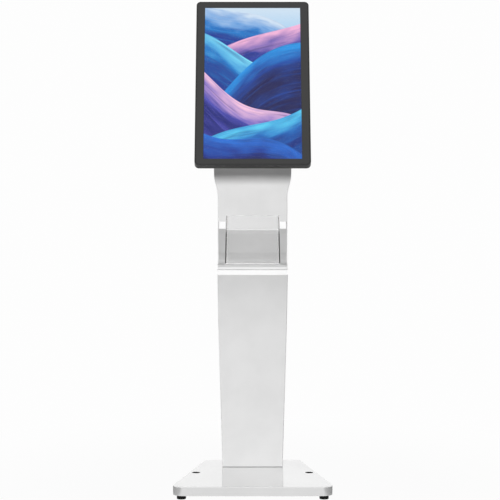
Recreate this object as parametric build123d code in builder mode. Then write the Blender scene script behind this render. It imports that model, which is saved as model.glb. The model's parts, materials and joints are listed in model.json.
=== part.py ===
from build123d import *
import os
from math import atan2, cos, degrees, radians, sin, tan

# A floor stand that carries a turning display over a leaflet pocket.
# Millimetres, +Z up, front towards -Y, origin on the floor under the middle of the base.

os.makedirs("parts", exist_ok=True)

# Base
base_depth = 400.0
base_front_width = 442.0
base_back_width = 276.0
base_height = 25.0
base_front_corner = 28.0
base_back_corner = 12.0
base_sheet = 2.5
base_edge = 2.0
base_plate_thickness = 10.0
base_plate_recess = 2.0
base_plate_clearance = 1.0
foot_height = 13.0
foot_radius = 12.5
foot_stud_radius = 4.0
foot_running_clearance = 0.05
foot_front_y = -170.0
foot_back_y = 172.0
foot_front_x = 192.0
foot_back_x = 118.0
foot_travel = 10.0
anchor_x = 158.0
anchor_y = 4.0
anchor_radius = 9.5
sleeve_wall = 2.0

# Heights that set the rest: the tray's floor, and the display's middle above it
tray_floor = 617.5
display_rise = 509.5

# Column and tray, seen from the side, with heights below and above the tray's floor
column_front_y = 85.0
body_back_y = 170.0
sheet = 2.0
fold_radius = 3.0
sweep_start = tray_floor - 217.5
nose_bottom = tray_floor - 28.0
nose_reach = 53.0
nose_top = tray_floor - 14.5
nose_slope = 9.0
tray_front_radius = 4.0
scoop_clearance = 2.0
scoop_radius = 24.0
scoop_knee = tray_floor + 84.0
scoop_knee_y = 87.5
scoop_knee_radius = 6.0
scoop_top = tray_floor + 98.5
scoop_lip_y = 84.0
tray_sheet = 1.5
tray_gap = 0.2

# Neck and head
neck_front_y = 90.0
neck_bottom = tray_floor + 118.5
tongue_bottom = tray_floor + 84.5
tongue_half_width = 77.0
bend_start = tray_floor + 217.5
bend_radius = 75.0
head_depth = 62.0
head_top_up = 130.0
head_low_corner = 20.0
head_corner = 12.0
head_back_corner = 40.0

# Body, seen from the front
column_half_width = 98.2
foot_half_width = column_half_width - 12.7
taper_half_width = column_half_width - 2.5
taper_top = sweep_start
flare_bottom = bend_start - 32.0
flare_height = 71.0
flare = 10.6

# Back covers and the grommet
cover_sheet = 1.5
cover_inset = 3.0
flange_width = 14.0
column_cover_bottom = 60.0
column_cover_top = tray_floor + 72.5
neck_cover_bottom = neck_bottom + 16.0
cover_screw_radius = 2.0
cover_screw_head = 3.8
cover_screw_inset = 10.0
cover_screw_length = 8.5
grommet_radius = 18.0
grommet_bore = 12.0
grommet_z = 100.0

# Post and its fastenings
post_width = 116.0
post_depth = 40.0
post_wall = 3.0
post_back_gap = 7.5
post_below_display = 67.0
flange_y = 128.0
flange_plate_width = 160.0
flange_plate_depth = 72.0
flange_plate_thickness = 8.0
column_bolt_x = 70.0
column_bolt_y = 24.0
column_bolt_radius = 5.0

# Display. Its layers are measured back from the front face, square to it.
display_tilt = 26.5
display_y = 20.0
screen_width = 267.8
screen_height = 476.1
bezel_side = 24.35
bezel_end = 18.95
display_corner = 12.0
rim_depth = 20.0
rim_wall = 3.0
rim_edge = 1.2
glass_thickness = 3.0
glass_gap = 0.25
ledge_thickness = 2.5
gasket_thickness = 1.0
rear_sheet = 2.4
box_side_margin = 38.25
box_end_margin = 57.0
box_corner = 18.0
box_edge = 6.0
display_depth = 45.0
boss_radius = 5.0
shell_screw_radius = 1.5
ledge_overlap = 3.0
cell_margin = 2.0
cell_thickness = 2.0
diffuser_thickness = 1.2
stack_gap = 0.1
chassis_thickness = 2.0
air_slot_length = 28.0
air_slot_width = 3.2

# Boards, ports and button
board_rise = 5.0
board_thickness = 1.6
main_board_size = (150.0, 108.0)
power_board_centre = (0.0, 112.0)
power_board_size = (140.0, 90.0)
standoff_inset = 6.0
standoff_radius = 3.0
sink_place = (10.0, 8.0)
sink_width = 48.0
sink_height = 44.0
sink_base = 2.5
fin_thickness = 1.6
fin_height = 8.0
bay_width = 120.0
bracket_thickness = 1.2
port_depth = 18.0
port_mouth = 11.0
button_x = 48.0
button_rise = 6.0
button_radius = 4.0
button_reach = 3.2
speaker_x = 98.0
speaker_width = 30.0
speaker_length = 84.0
speaker_depth = 13.0

# Swivel, in the same layers
mounting_plate_size = 124.0
mounting_plate_thickness = 3.0
mounting_hole_spacing = 100.0
rotor_radius = 62.0
rotor_thickness = 5.0
hub_radius = 22.0
hub_bore = 13.0
hub_running_clearance = 0.05
swivel_gap = 0.3
friction_thickness = 1.2
face_gap = 25.0
spigot_radius = 32.0
spigot_clearance = 0.2
head_plate_thickness = 5.0
head_plate_width = 170.0
head_plate_height = 200.0
stator_edge = 1.5
stator_bolt_circle = 44.0
stator_bolt_radius = 3.0
stator_bolt_head = 5.0
stator_thread_depth = 8.0
stop_circle = 54.0
stop_pin_radius = 3.0
stop_pin_seat = 5.2
stop_clearance = 1.0
stop_angle = 225.0
turn_range = 90.0
rotor_screw_circle = 36.0
rotor_screw_radius = 2.5
mounting_screw_radius = 1.9
washer_thickness = 2.0
nut_gap = 0.1
nut_thickness = 8.0
nut_radius = 30.0
nut_notch = 5.0
gusset_thickness = 4.0

# Leaflet pocket
acrylic = 3.0
pocket_bottom_half = 77.5
pocket_top_half = 74.5
pocket_back_top = tray_floor + 136.0
pocket_front_top = tray_floor + 98.5
pocket_front_y = 46.0
pocket_depth = 26.0
pocket_seat = 0.8
pad_x = 45.0

# Worked out from the sizes above
display_z = tray_floor + display_rise
display_width = screen_width + 2 * bezel_side
display_height = screen_height + 2 * bezel_end
box_width = display_width - 2 * box_side_margin
box_height = display_height - 2 * box_end_margin
post_top = display_z - post_below_display
base_bottom = foot_height
base_top = foot_height + base_height
plate_bottom = base_bottom + base_plate_recess
plate_top = plate_bottom + base_plate_thickness
cover_inner_top = base_top - base_sheet
face_back = display_depth + face_gap
head_back = face_back + head_depth
bend_angle = 90.0 - display_tilt
nose_y = column_front_y - nose_reach
tray_front_y = nose_y + nose_slope
post_front_y = body_back_y - post_back_gap - post_depth
post_y = post_front_y + post_depth / 2
scoop_back_y = post_front_y - tray_sheet - scoop_clearance
far = 400.0


def save(piece, name):
    """Label a finished piece and write its STEP file."""
    piece.part.label = name
    export_step(piece.part, f"parts/{name}.step")


def layer(back):
    """Plane in the display's frame, so far behind its front face; local Y runs up the screen."""
    slope = radians(display_tilt)
    origin = (0, display_y + back * cos(slope), display_z - back * sin(slope))
    return Plane(origin=origin, x_dir=(1, 0, 0), z_dir=(0, -cos(slope), sin(slope)))


def layer_from_behind(back):
    """The same plane looked at from behind the display, with local Y still up the screen."""
    return Plane(origin=layer(back).origin, x_dir=(-1, 0, 0), z_dir=-layer(back).z_dir)


def button_screw(shank, head, length):
    """A button-head screw with a hexagon socket: head above the XY plane, shank below it."""
    head_height = 0.55 * head
    with BuildPart() as screw:
        with BuildSketch():
            Circle(head)
        extrude(amount=head_height)
        fillet(screw.edges().group_by(Axis.Z)[-1], radius=0.6 * head_height)
        with BuildSketch(Plane.XY.offset(head_height)):
            RegularPolygon(radius=0.4 * head, side_count=6)
        extrude(amount=-0.6 * head_height, mode=Mode.SUBTRACT)
        with BuildSketch():
            Circle(shank)
        extrude(amount=-length)
    return screw.part


def side_point(back, up):
    """Side-view point (Y, Z) that lies so far behind the display's face and up along it."""
    point = layer(back).from_local_coords((0, up, 0))
    return (point.Y, point.Z)


def height_along_display(y, z):
    """How far up along the display a side-view point lies."""
    slope = radians(display_tilt)
    return (y - display_y) * sin(slope) + (z - display_z) * cos(slope)


# Plan of the base


def base_plan(height, inset):
    """Plan of the base at a height, with each side drawn in by inset."""
    with BuildSketch(Plane.XY.offset(height)) as plan:
        with BuildLine():
            Polyline(
                (-base_front_width / 2, -base_depth / 2),
                (base_front_width / 2, -base_depth / 2),
                (base_back_width / 2, base_depth / 2),
                (-base_back_width / 2, base_depth / 2),
                close=True,
            )
        make_face()
        fillet(plan.vertices().group_by(Axis.Y)[0], radius=base_front_corner)
        fillet(plan.vertices().group_by(Axis.Y)[-1], radius=base_back_corner)
        if inset:
            offset(amount=-inset)
    return plan.sketch


# Front view of the body


def body_outline(inset, bottom, top, at_y=0.0):
    """Front view of the body between two heights, each side drawn in by inset."""
    taper = atan2(taper_half_width - foot_half_width, taper_top - base_top)
    run_out = column_half_width - taper_half_width
    taper_arc = run_out / (1 - cos(taper))
    flare_turn = 2 * atan2(flare, flare_height)
    flare_arc = flare_height / (2 * sin(flare_turn))
    foot = (foot_half_width - base_top * tan(taper), 0)
    with BuildSketch(Plane.XZ.offset(-at_y)) as view:
        with BuildLine() as edge:
            lower = Line(foot, (taper_half_width, taper_top))
            eased = JernArc(lower @ 1, lower % 1, taper_arc, degrees(taper))
            upright = Line(eased @ 1, (column_half_width, flare_bottom))
            outward = JernArc(upright @ 1, upright % 1, flare_arc, -degrees(flare_turn))
            inward = JernArc(outward @ 1, outward % 1, flare_arc, degrees(flare_turn))
            Line(inward @ 1, inward @ 1 + (0, far))
            mirror(about=Plane.YZ)
            Line(edge.vertices().group_by(Axis.Y)[0])
            Line(edge.vertices().group_by(Axis.Y)[-1])
        make_face()
        if inset:
            offset(amount=-inset)
        with Locations((0, (bottom + top) / 2)):
            Rectangle(2 * far, top - bottom, mode=Mode.INTERSECT)
    return view.sketch


# Side view of the column, its tray and scoop

notch_points = [
    (tray_front_y, nose_top),
    (tray_front_y, tray_floor),
    (scoop_back_y, tray_floor),
    (scoop_knee_y, scoop_knee),
    (scoop_lip_y, scoop_top),
]
notch_radii = [tray_front_radius, scoop_radius, scoop_knee_radius]


def column_side(inset):
    """Side view of the column, from the base's top to the neck's lower edge, drawn in by inset."""
    rise = nose_bottom - sweep_start
    sweep_turn = 2 * degrees(atan2(nose_reach, rise))
    sweep_radius = (rise**2 + nose_reach**2) / (2 * nose_reach)
    with BuildSketch(Plane.YZ) as view:
        with BuildLine():
            front = Line((column_front_y, base_top), (column_front_y, sweep_start))
            sweep_arc = JernArc(front @ 1, front % 1, sweep_radius, sweep_turn)
            Line(sweep_arc @ 1, notch_points[0])
            FilletPolyline(*notch_points, radius=notch_radii)
            Polyline(
                notch_points[-1],
                (neck_front_y, scoop_top),
                (neck_front_y, neck_bottom),
                (body_back_y, neck_bottom),
                (body_back_y, base_top),
                (column_front_y, base_top),
            )
        make_face()
        if inset:
            offset(amount=-inset)
    return view.sketch


# Side view of the neck and head


def bend_end():
    """Side-view point where the neck's bend meets the underside of the head."""
    turn = radians(bend_angle)
    return (neck_front_y - bend_radius * (1 - cos(turn)), bend_start + bend_radius * sin(turn))


head_low_up = height_along_display(*bend_end())
head_low = side_point(face_back, head_low_up)
head_high = side_point(face_back, head_top_up)
head_high_back = side_point(head_back, head_top_up)
slope_cos = cos(radians(display_tilt))
slope_sin = sin(radians(display_tilt))
head_turn_up = (body_back_y - display_y - head_back * slope_cos) / slope_sin
head_turn = side_point(head_back, head_turn_up)
into_display = Axis((0, 0, 0), (0, slope_cos, -slope_sin))
up_display = Axis((0, 0, 0), (0, slope_sin, slope_cos))


def neck_side(inset):
    """Side view of the neck and head: up, bent forward, then leaning with the display."""
    with BuildSketch(Plane.YZ) as view:
        with BuildLine():
            front = Line((neck_front_y, neck_bottom), (neck_front_y, bend_start))
            bend = JernArc(front @ 1, front % 1, bend_radius, bend_angle)
            FilletPolyline(
                bend @ 1,
                head_low,
                head_high,
                head_high_back,
                head_turn,
                (body_back_y, neck_bottom),
                (neck_front_y, neck_bottom),
                radius=[head_low_corner, head_corner, head_corner, head_back_corner, 0],
            )
        make_face()
        if inset:
            offset(amount=-inset)
    return view.sketch


def back_strip(bottom, top_up, thickness, side):
    """Side view of a strip along the neck's back, from a height up to a place on the head."""
    with BuildSketch(Plane.YZ) as view:
        with BuildLine():
            FilletPolyline(
                (body_back_y, bottom),
                head_turn,
                side_point(head_back, top_up),
                radius=head_back_corner,
            )
            offset(amount=thickness, side=side)
        make_face()
    return view.sketch


# Base pan: a folded cover over a steel plate

with BuildPart() as base_cover:
    extrude(base_plan(base_bottom, 0), amount=base_height)
    fillet(base_cover.faces().sort_by(Axis.Z)[-1].edges(), radius=base_edge)
    extrude(base_plan(base_bottom, base_sheet), amount=base_height - base_sheet, mode=Mode.SUBTRACT)
    with BuildSketch(Plane.XY.offset(base_top)):
        with Locations((-anchor_x, anchor_y), (anchor_x, anchor_y)):
            Circle(anchor_radius + sleeve_wall + 0.1)
        with Locations((0, flange_y)):
            with GridLocations(2 * column_bolt_x, 2 * column_bolt_y, 2, 2):
                Circle(column_bolt_radius + 0.5)
    extrude(amount=-2 * base_sheet, mode=Mode.SUBTRACT)
save(base_cover, "base_cover")

foot_places = {
    "front_left": (-foot_front_x, foot_front_y),
    "front_right": (foot_front_x, foot_front_y),
    "back_left": (-foot_back_x, foot_back_y),
    "back_right": (foot_back_x, foot_back_y),
}
insert_radius = 8.0
boss_screw_radius = 2.5
boss_screw_head = 4.4
cover_screw_places = [(-170, -140), (170, -140), (-60, -165), (60, -165), (-105, 110), (105, 110)]

with BuildPart() as base_plate:
    extrude(base_plan(plate_bottom, base_sheet + base_plate_clearance), amount=base_plate_thickness)
    with BuildSketch(Plane.XY.offset(plate_bottom)):
        with Locations((-anchor_x, anchor_y), (anchor_x, anchor_y)):
            Circle(anchor_radius + sleeve_wall + 0.1)
        with Locations(*foot_places.values()):
            Circle(insert_radius)
        with Locations((0, flange_y)):
            with GridLocations(2 * column_bolt_x, 2 * column_bolt_y, 2, 2):
                Circle(column_bolt_radius)
        with Locations(*cover_screw_places):
            Circle(boss_screw_radius + 0.1)
    extrude(amount=base_plate_thickness, mode=Mode.SUBTRACT)
save(base_plate, "base_plate")

# Sleeves that line the anchor holes, flush with the base's top, with a collar between plate and cover

with BuildPart() as anchor_sleeves:
    with BuildSketch(Plane.XY.offset(plate_bottom)):
        with Locations((-anchor_x, anchor_y), (anchor_x, anchor_y)):
            Circle(anchor_radius + sleeve_wall)
    extrude(amount=base_top - plate_bottom)
    with BuildSketch(Plane.XY.offset(plate_top)):
        with Locations((-anchor_x, anchor_y), (anchor_x, anchor_y)):
            Circle(anchor_radius + sleeve_wall + 2.5)
    extrude(amount=cover_inner_top - plate_top)
    with BuildSketch(Plane.XY.offset(plate_bottom)):
        with Locations((-anchor_x, anchor_y), (anchor_x, anchor_y)):
            Circle(anchor_radius)
    extrude(amount=base_top - plate_bottom, mode=Mode.SUBTRACT)
save(anchor_sleeves, "anchor_sleeves")

# Spacers under the column's bolts, and bosses for the cover's own screws

with BuildPart() as base_spacers:
    with BuildSketch(Plane.XY.offset(plate_top)):
        with Locations((0, flange_y)):
            with GridLocations(2 * column_bolt_x, 2 * column_bolt_y, 2, 2):
                Circle(column_bolt_radius + 5)
                Circle(column_bolt_radius + 0.5, mode=Mode.SUBTRACT)
        with Locations(*cover_screw_places):
            Circle(2 * boss_screw_radius)
            Circle(boss_screw_radius, mode=Mode.SUBTRACT)
    extrude(amount=cover_inner_top - plate_top)
save(base_spacers, "base_spacers")

with BuildPart() as cover_screws:
    with BuildSketch(Plane.XY.offset(plate_bottom)):
        with Locations(*cover_screw_places):
            Circle(boss_screw_head)
    extrude(amount=-1.8)
    with BuildSketch(Plane.XY.offset(plate_bottom)):
        with Locations(*cover_screw_places):
            Circle(boss_screw_radius)
    extrude(amount=base_plate_thickness + 7)
save(cover_screws, "cover_screws")

# Threaded inserts and levelling feet

insert_height = foot_travel + 3.0
pad_height = 8.5
pad_floor = 2.5
stud_head_height = 4.0
stud_head_radius = foot_stud_radius + 2

with BuildPart() as foot_inserts:
    with BuildSketch(Plane.XY.offset(plate_bottom)):
        with Locations(*foot_places.values()):
            Circle(insert_radius)
            Circle(foot_stud_radius, mode=Mode.SUBTRACT)
    extrude(amount=insert_height)
save(foot_inserts, "foot_inserts")

for corner, (foot_x, foot_y) in foot_places.items():
    with BuildPart() as foot_pad:
        with BuildSketch(Plane.XY):
            with Locations((foot_x, foot_y)):
                Circle(foot_radius)
        extrude(amount=pad_height)
        chamfer(foot_pad.edges().group_by(Axis.Z)[0], length=1.0)
        fillet(foot_pad.edges().group_by(Axis.Z)[-1], radius=2.0)
        with BuildSketch(Plane.XY.offset(pad_floor)):
            with Locations((foot_x, foot_y)):
                Circle(stud_head_radius)
        extrude(amount=pad_height, mode=Mode.SUBTRACT)
    save(foot_pad, f"foot_pad_{corner}")

    with BuildPart() as foot_stud:
        with BuildSketch(Plane.XY.offset(pad_floor)):
            with Locations((foot_x, foot_y)):
                Circle(stud_head_radius)
        extrude(amount=pad_height - pad_floor)
        with BuildSketch(Plane.XY.offset(pad_height)):
            with Locations((foot_x, foot_y)):
                RegularPolygon(radius=6.5, side_count=6, major_radius=False)
        extrude(amount=stud_head_height)
        with BuildSketch(Plane.XY.offset(pad_height + stud_head_height)):
            with Locations((foot_x, foot_y)):
                Circle(foot_stud_radius - foot_running_clearance)
        extrude(amount=cover_inner_top - pad_height - stud_head_height - 2)
        chamfer(foot_stud.edges().group_by(Axis.Z)[-1], length=0.6)
    save(foot_stud, f"foot_stud_{corner}")

# Post: a steel tube on a bolted foot flange

with BuildPart() as post_flange:
    with BuildSketch(Plane.XY.offset(base_top)):
        with Locations((0, flange_y)):
            RectangleRounded(flange_plate_width, flange_plate_depth, 6)
            with GridLocations(2 * column_bolt_x, 2 * column_bolt_y, 2, 2):
                Circle(column_bolt_radius + 0.5, mode=Mode.SUBTRACT)
        with Locations((0, post_y)):
            RectangleRounded(80, 22, 8, mode=Mode.SUBTRACT)
    extrude(amount=flange_plate_thickness)
save(post_flange, "post_flange")

bolt_seat = base_top + flange_plate_thickness

with BuildPart() as column_bolts:
    with BuildSketch(Plane.XY.offset(bolt_seat)):
        with Locations((0, flange_y)):
            with GridLocations(2 * column_bolt_x, 2 * column_bolt_y, 2, 2):
                RegularPolygon(radius=8.5, side_count=6, major_radius=False)
    extrude(amount=6.4)
    with BuildSketch(Plane.XY.offset(bolt_seat)):
        with Locations((0, flange_y)):
            with GridLocations(2 * column_bolt_x, 2 * column_bolt_y, 2, 2):
                Circle(column_bolt_radius)
    extrude(amount=-(bolt_seat - plate_bottom))
save(column_bolts, "column_bolts")

gusset_bottom = post_top - 150.0
gusset_bolt_heights = (post_top - 135.0, post_top - 85.0, post_top - 30.0)
gusset_bolt_radius = 3.0

with BuildPart() as post:
    with BuildSketch(Plane.XY.offset(bolt_seat)):
        with Locations((0, post_y)):
            RectangleRounded(post_width, post_depth, 5)
            RectangleRounded(post_width - 2 * post_wall, post_depth - 2 * post_wall, 2.5, mode=Mode.SUBTRACT)
    extrude(amount=post_top - bolt_seat)
    with BuildSketch(Plane.XZ.offset(-post_y)):
        with Locations((0, grommet_z)):
            SlotOverall(50, 26, rotation=90)
    extrude(amount=-post_depth, mode=Mode.SUBTRACT)
    with BuildSketch(Plane.YZ):
        with Locations(*[(post_y, z) for z in gusset_bolt_heights]):
            Circle(gusset_bolt_radius)
    extrude(amount=post_width, both=True, mode=Mode.SUBTRACT)
save(post, "post")

# Places of the back covers' screws

column_screw_heights = [column_cover_bottom + 15.0, sweep_start - 25.0, column_cover_top - 15.0]


def half_width(z):
    """Half the body's width at a height on the column or above the neck's flare."""
    taper = atan2(taper_half_width - foot_half_width, taper_top - base_top)
    if z <= taper_top:
        return foot_half_width + (z - base_top) * tan(taper)
    if z >= flare_bottom + flare_height - 1:
        return column_half_width + flare
    taper_arc = (column_half_width - taper_half_width) / (1 - cos(taper))
    below_end = max(taper_top + taper_arc * sin(taper) - z, 0)
    return column_half_width - taper_arc + (taper_arc**2 - below_end**2) ** 0.5


column_screw_places = []
for screw_z in column_screw_heights:
    for side in (-1, 1):
        column_screw_places.append((side * (half_width(screw_z) - cover_screw_inset), screw_z))

neck_screw_places = []
for screw_z in (neck_cover_bottom + 12.0, post_top - 120.0, post_top + 30.0):
    for side in (-1, 1):
        neck_screw_places.append((side * (half_width(screw_z) - cover_screw_inset), screw_z))

# Column shell: front and sides folded from one sheet, open at the back between two return flanges.
# Above the back cover its sides go on as two plain cheeks.

shell_open = column_cover_top + 7

with BuildPart() as column_inside:
    extrude(column_side(sheet), amount=far, both=True)
    with BuildSketch(Plane.YZ):
        with Locations(((column_front_y + body_back_y) / 2, base_top)):
            Rectangle(body_back_y - column_front_y - 2 * sheet, 6 * sheet)
        with Locations((body_back_y - sheet - far / 2, nose_top + far / 2)):
            Rectangle(far, far)
        with Locations((body_back_y, shell_open + far / 2)):
            Rectangle(far, far)
    extrude(amount=far, both=True)
    extrude(body_outline(sheet, -sheet, neck_bottom + far), amount=far, both=True, mode=Mode.INTERSECT)

with BuildPart() as column_folded:
    extrude(column_side(0), amount=far, both=True)
    extrude(body_outline(0, 0, neck_bottom + sheet), amount=far, both=True, mode=Mode.INTERSECT)
    side_edges = column_folded.edges().filter_by(lambda e: abs(e.center().X) > foot_half_width - 10)
    folds = side_edges.filter_by(lambda e: e.center().Y < column_front_y + 1)
    fillet(folds.filter_by(lambda e: base_top + 1 < e.center().Z < nose_bottom), radius=fold_radius)
    add(column_inside.part, mode=Mode.SUBTRACT)
    back_opening = body_outline(flange_width, column_cover_bottom - 5, shell_open, body_back_y + 1)
    extrude(back_opening, amount=2 * sheet + 1, mode=Mode.SUBTRACT)
    with BuildSketch(Plane.XZ.offset(-body_back_y)):
        with Locations(*column_screw_places):
            Circle(cover_screw_radius)
    extrude(amount=2 * sheet, mode=Mode.SUBTRACT)

with BuildPart() as column_shell:
    add(column_folded.part)
    split(bisect_by=Plane.XY.offset(shell_open), keep=Keep.BOTTOM)
save(column_shell, "column_shell")

with BuildPart() as column_cheeks:
    add(column_folded.part)
    split(bisect_by=Plane.XY.offset(shell_open), keep=Keep.TOP)
save(column_cheeks, "column_cheeks")

# Column's back cover, with a rubber grommet where a cable can leave

with BuildPart() as column_cover:
    cover_view = body_outline(cover_inset, column_cover_bottom, column_cover_top, body_back_y)
    extrude(cover_view, amount=-cover_sheet)
    with BuildSketch(Plane.XZ.offset(-body_back_y)):
        with Locations((0, grommet_z)):
            Circle(grommet_radius - 3)
        with Locations(*column_screw_places):
            Circle(cover_screw_radius + 0.2)
    extrude(amount=-cover_sheet, mode=Mode.SUBTRACT)
save(column_cover, "column_cover")

back_screw = button_screw(cover_screw_radius, cover_screw_head, cover_screw_length)

with BuildPart(Plane.back.offset(body_back_y + cover_sheet)) as column_cover_screws:
    with Locations(*column_screw_places):
        add(back_screw)
save(column_cover_screws, "column_cover_screws")

with BuildPart() as cable_grommet:
    with BuildSketch(Plane.XZ.offset(-body_back_y - cover_sheet - 2.5)):
        with Locations((0, grommet_z)):
            Circle(grommet_radius)
    extrude(amount=2.5)
    fillet(cable_grommet.edges().group_by(Axis.Y)[-1], radius=1.5)
    with BuildSketch(Plane.XZ.offset(-body_back_y)):
        with Locations((0, grommet_z)):
            Circle(grommet_radius)
    extrude(amount=2.0)
    with BuildSketch(Plane.XZ.offset(-body_back_y)):
        with Locations((0, grommet_z)):
            Circle(grommet_radius - 3)
    extrude(amount=-cover_sheet)
    with BuildSketch(Plane.XZ.offset(-body_back_y - far / 10)):
        with Locations((0, grommet_z)):
            Circle(grommet_bore)
    extrude(amount=far / 5, mode=Mode.SUBTRACT)
save(cable_grommet, "cable_grommet")

# Tray: one sheet that makes the tray's front, its floor and the scoop behind

with BuildPart() as tray:
    with BuildSketch(Plane.YZ):
        with BuildLine():
            FilletPolyline(*notch_points, radius=notch_radii)
            offset(amount=tray_sheet, side=Side.RIGHT)
        make_face()
    extrude(amount=far, both=True)
    tray_view = body_outline(sheet + tray_gap, nose_top + 1, neck_bottom)
    extrude(tray_view, amount=far, both=True, mode=Mode.INTERSECT)
save(tray, "tray")

# Leaflet pocket: heat-bent clear acrylic that leans back against the scoop's lip, stuck down on two pads

pocket_bottom = tray_floor + pocket_seat
pocket_rear_y = pocket_front_y + pocket_depth
pocket_lean = (scoop_lip_y - 0.3 - pocket_rear_y) / (scoop_top - pocket_bottom)


def leaned(y, z):
    """Side-view point at a height on a line that leans back from y on the pocket's bottom."""
    return (y + (z - pocket_bottom) * pocket_lean, z)


def pocket_front_view(inset):
    """Front view of the pocket, a little wider at its bottom, each side drawn in by inset."""
    with BuildSketch(Plane.XZ) as view:
        with BuildLine():
            Polyline(
                (-pocket_bottom_half + inset, pocket_bottom),
                (pocket_bottom_half - inset, pocket_bottom),
                (pocket_top_half - inset, pocket_back_top),
                (-pocket_top_half + inset, pocket_back_top),
                close=True,
            )
        make_face()
    return view.sketch


with BuildPart() as pocket_inside:
    inner_bottom = pocket_bottom + acrylic
    over_top = pocket_back_top + acrylic
    with BuildSketch(Plane.YZ):
        with BuildLine():
            Polyline(
                leaned(pocket_front_y + acrylic, inner_bottom),
                leaned(pocket_rear_y - acrylic, inner_bottom),
                leaned(pocket_rear_y - acrylic, over_top),
                leaned(pocket_front_y + acrylic, over_top),
                close=True,
            )
        make_face()
    extrude(amount=far, both=True)
    extrude(pocket_front_view(acrylic), amount=far, both=True, mode=Mode.INTERSECT)

with BuildPart() as pocket:
    with BuildSketch(Plane.YZ):
        with BuildLine():
            Polyline(
                leaned(pocket_front_y, pocket_bottom),
                leaned(pocket_rear_y, pocket_bottom),
                leaned(pocket_rear_y, pocket_back_top),
                leaned(pocket_rear_y - acrylic, pocket_back_top),
                leaned(pocket_front_y + acrylic, pocket_front_top),
                leaned(pocket_front_y, pocket_front_top),
                close=True,
            )
        make_face()
    extrude(amount=far, both=True)
    extrude(pocket_front_view(0), amount=far, both=True, mode=Mode.INTERSECT)
    add(pocket_inside.part, mode=Mode.SUBTRACT)
save(pocket, "leaflet_pocket")

with BuildPart() as pocket_pads:
    with BuildSketch(Plane.XY.offset(tray_floor)):
        with Locations((0, pocket_front_y + pocket_depth / 2)):
            with GridLocations(2 * pad_x, 1, 2, 1):
                RectangleRounded(24, 14, 2)
    extrude(amount=pocket_seat)
save(pocket_pads, "pocket_pads")

# Neck shell: folded like the column, with a tongue that goes on down behind the scoop's lip

with BuildPart() as neck_inside:
    extrude(neck_side(sheet), amount=far, both=True)
    with BuildSketch(Plane.YZ):
        with Locations(((neck_front_y + body_back_y) / 2, neck_bottom)):
            Rectangle(body_back_y - neck_front_y - 2 * sheet, 6 * sheet)
    extrude(amount=far, both=True)
    extrude(body_outline(sheet, 0, 2 * neck_bottom), amount=far, both=True, mode=Mode.INTERSECT)

with BuildPart() as neck_back_opening:
    extrude(back_strip(neck_cover_bottom + 6, head_top_up - 18, sheet + 1, Side.LEFT), amount=far, both=True)
    extrude(body_outline(flange_width, 0, 2 * neck_bottom), amount=far, both=True, mode=Mode.INTERSECT)

with BuildPart() as neck_shell:
    extrude(neck_side(0), amount=far, both=True)
    extrude(body_outline(0, 0, 2 * neck_bottom), amount=far, both=True, mode=Mode.INTERSECT)
    side_edges = neck_shell.edges().filter_by(lambda e: abs(e.center().X) > foot_half_width)
    fillet(side_edges.filter_by(lambda e: e.center().Z > neck_bottom + 1), radius=fold_radius)
    add(neck_inside.part, mode=Mode.SUBTRACT)
    add(neck_back_opening.part, mode=Mode.SUBTRACT)
    with BuildSketch(layer(face_back - 1)):
        Circle(spigot_radius + 2)
        with PolarLocations(stator_bolt_circle, 4, start_angle=45):
            Circle(stator_bolt_radius + 0.5)
    extrude(amount=-2 * sheet, mode=Mode.SUBTRACT)
    with BuildSketch(Plane.XZ.offset(-body_back_y)):
        with Locations(*neck_screw_places):
            Circle(cover_screw_radius)
    extrude(amount=2 * sheet, mode=Mode.SUBTRACT)
save(neck_shell, "neck_shell")

with BuildPart() as neck_tongue:
    with BuildSketch(Plane.XZ.offset(-neck_front_y)):
        with Locations((0, (tongue_bottom + neck_bottom) / 2)):
            Rectangle(2 * tongue_half_width, neck_bottom - tongue_bottom)
    extrude(amount=-sheet)
save(neck_tongue, "neck_tongue")

with BuildPart() as neck_cover:
    extrude(back_strip(neck_cover_bottom, head_top_up - 13, cover_sheet, Side.RIGHT), amount=far, both=True)
    extrude(body_outline(cover_inset, 0, 2 * neck_bottom), amount=far, both=True, mode=Mode.INTERSECT)
    with BuildSketch(Plane.XZ.offset(-body_back_y)):
        with Locations(*neck_screw_places):
            Circle(cover_screw_radius + 0.2)
    extrude(amount=-cover_sheet, mode=Mode.SUBTRACT)
save(neck_cover, "neck_cover")

with BuildPart(Plane.back.offset(body_back_y + cover_sheet)) as neck_cover_screws:
    with Locations(*neck_screw_places):
        add(back_screw)
save(neck_cover_screws, "neck_cover_screws")

# Brackets that hold both shells to the post

bracket_sheet = 2.5
bracket_rise = 18.0
bracket_width = 26.0

with BuildPart() as shell_brackets:
    for bracket_z in (180.0, nose_bottom - 69.5, neck_bottom + 22.0, gusset_bottom - 26.0):
        reach = half_width(bracket_z) - sheet - 0.1
        with BuildSketch(Plane.XZ.offset(-(post_y - bracket_width / 2))):
            with BuildLine():
                Polyline(
                    (post_width / 2, bracket_z + bracket_rise),
                    (post_width / 2, bracket_z),
                    (reach, bracket_z),
                    (reach, bracket_z + bracket_rise),
                )
                offset(amount=bracket_sheet, side=Side.LEFT)
            make_face()
            mirror(about=Plane.YZ)
        extrude(amount=-bracket_width)
save(shell_brackets, "shell_brackets")

# Head plate and the gussets that carry it on the post

plate_back = face_back + sheet + head_plate_thickness

with BuildPart() as head_plate:
    with BuildSketch(layer(face_back + sheet)):
        RectangleRounded(head_plate_width, head_plate_height, 10)
        Circle(spigot_radius + spigot_clearance, mode=Mode.SUBTRACT)
        with PolarLocations(stator_bolt_circle, 4, start_angle=45):
            Circle(stator_bolt_radius + 0.4, mode=Mode.SUBTRACT)
    extrude(amount=-head_plate_thickness)
save(head_plate, "head_plate")

post_back_y = post_front_y + post_depth

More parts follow.
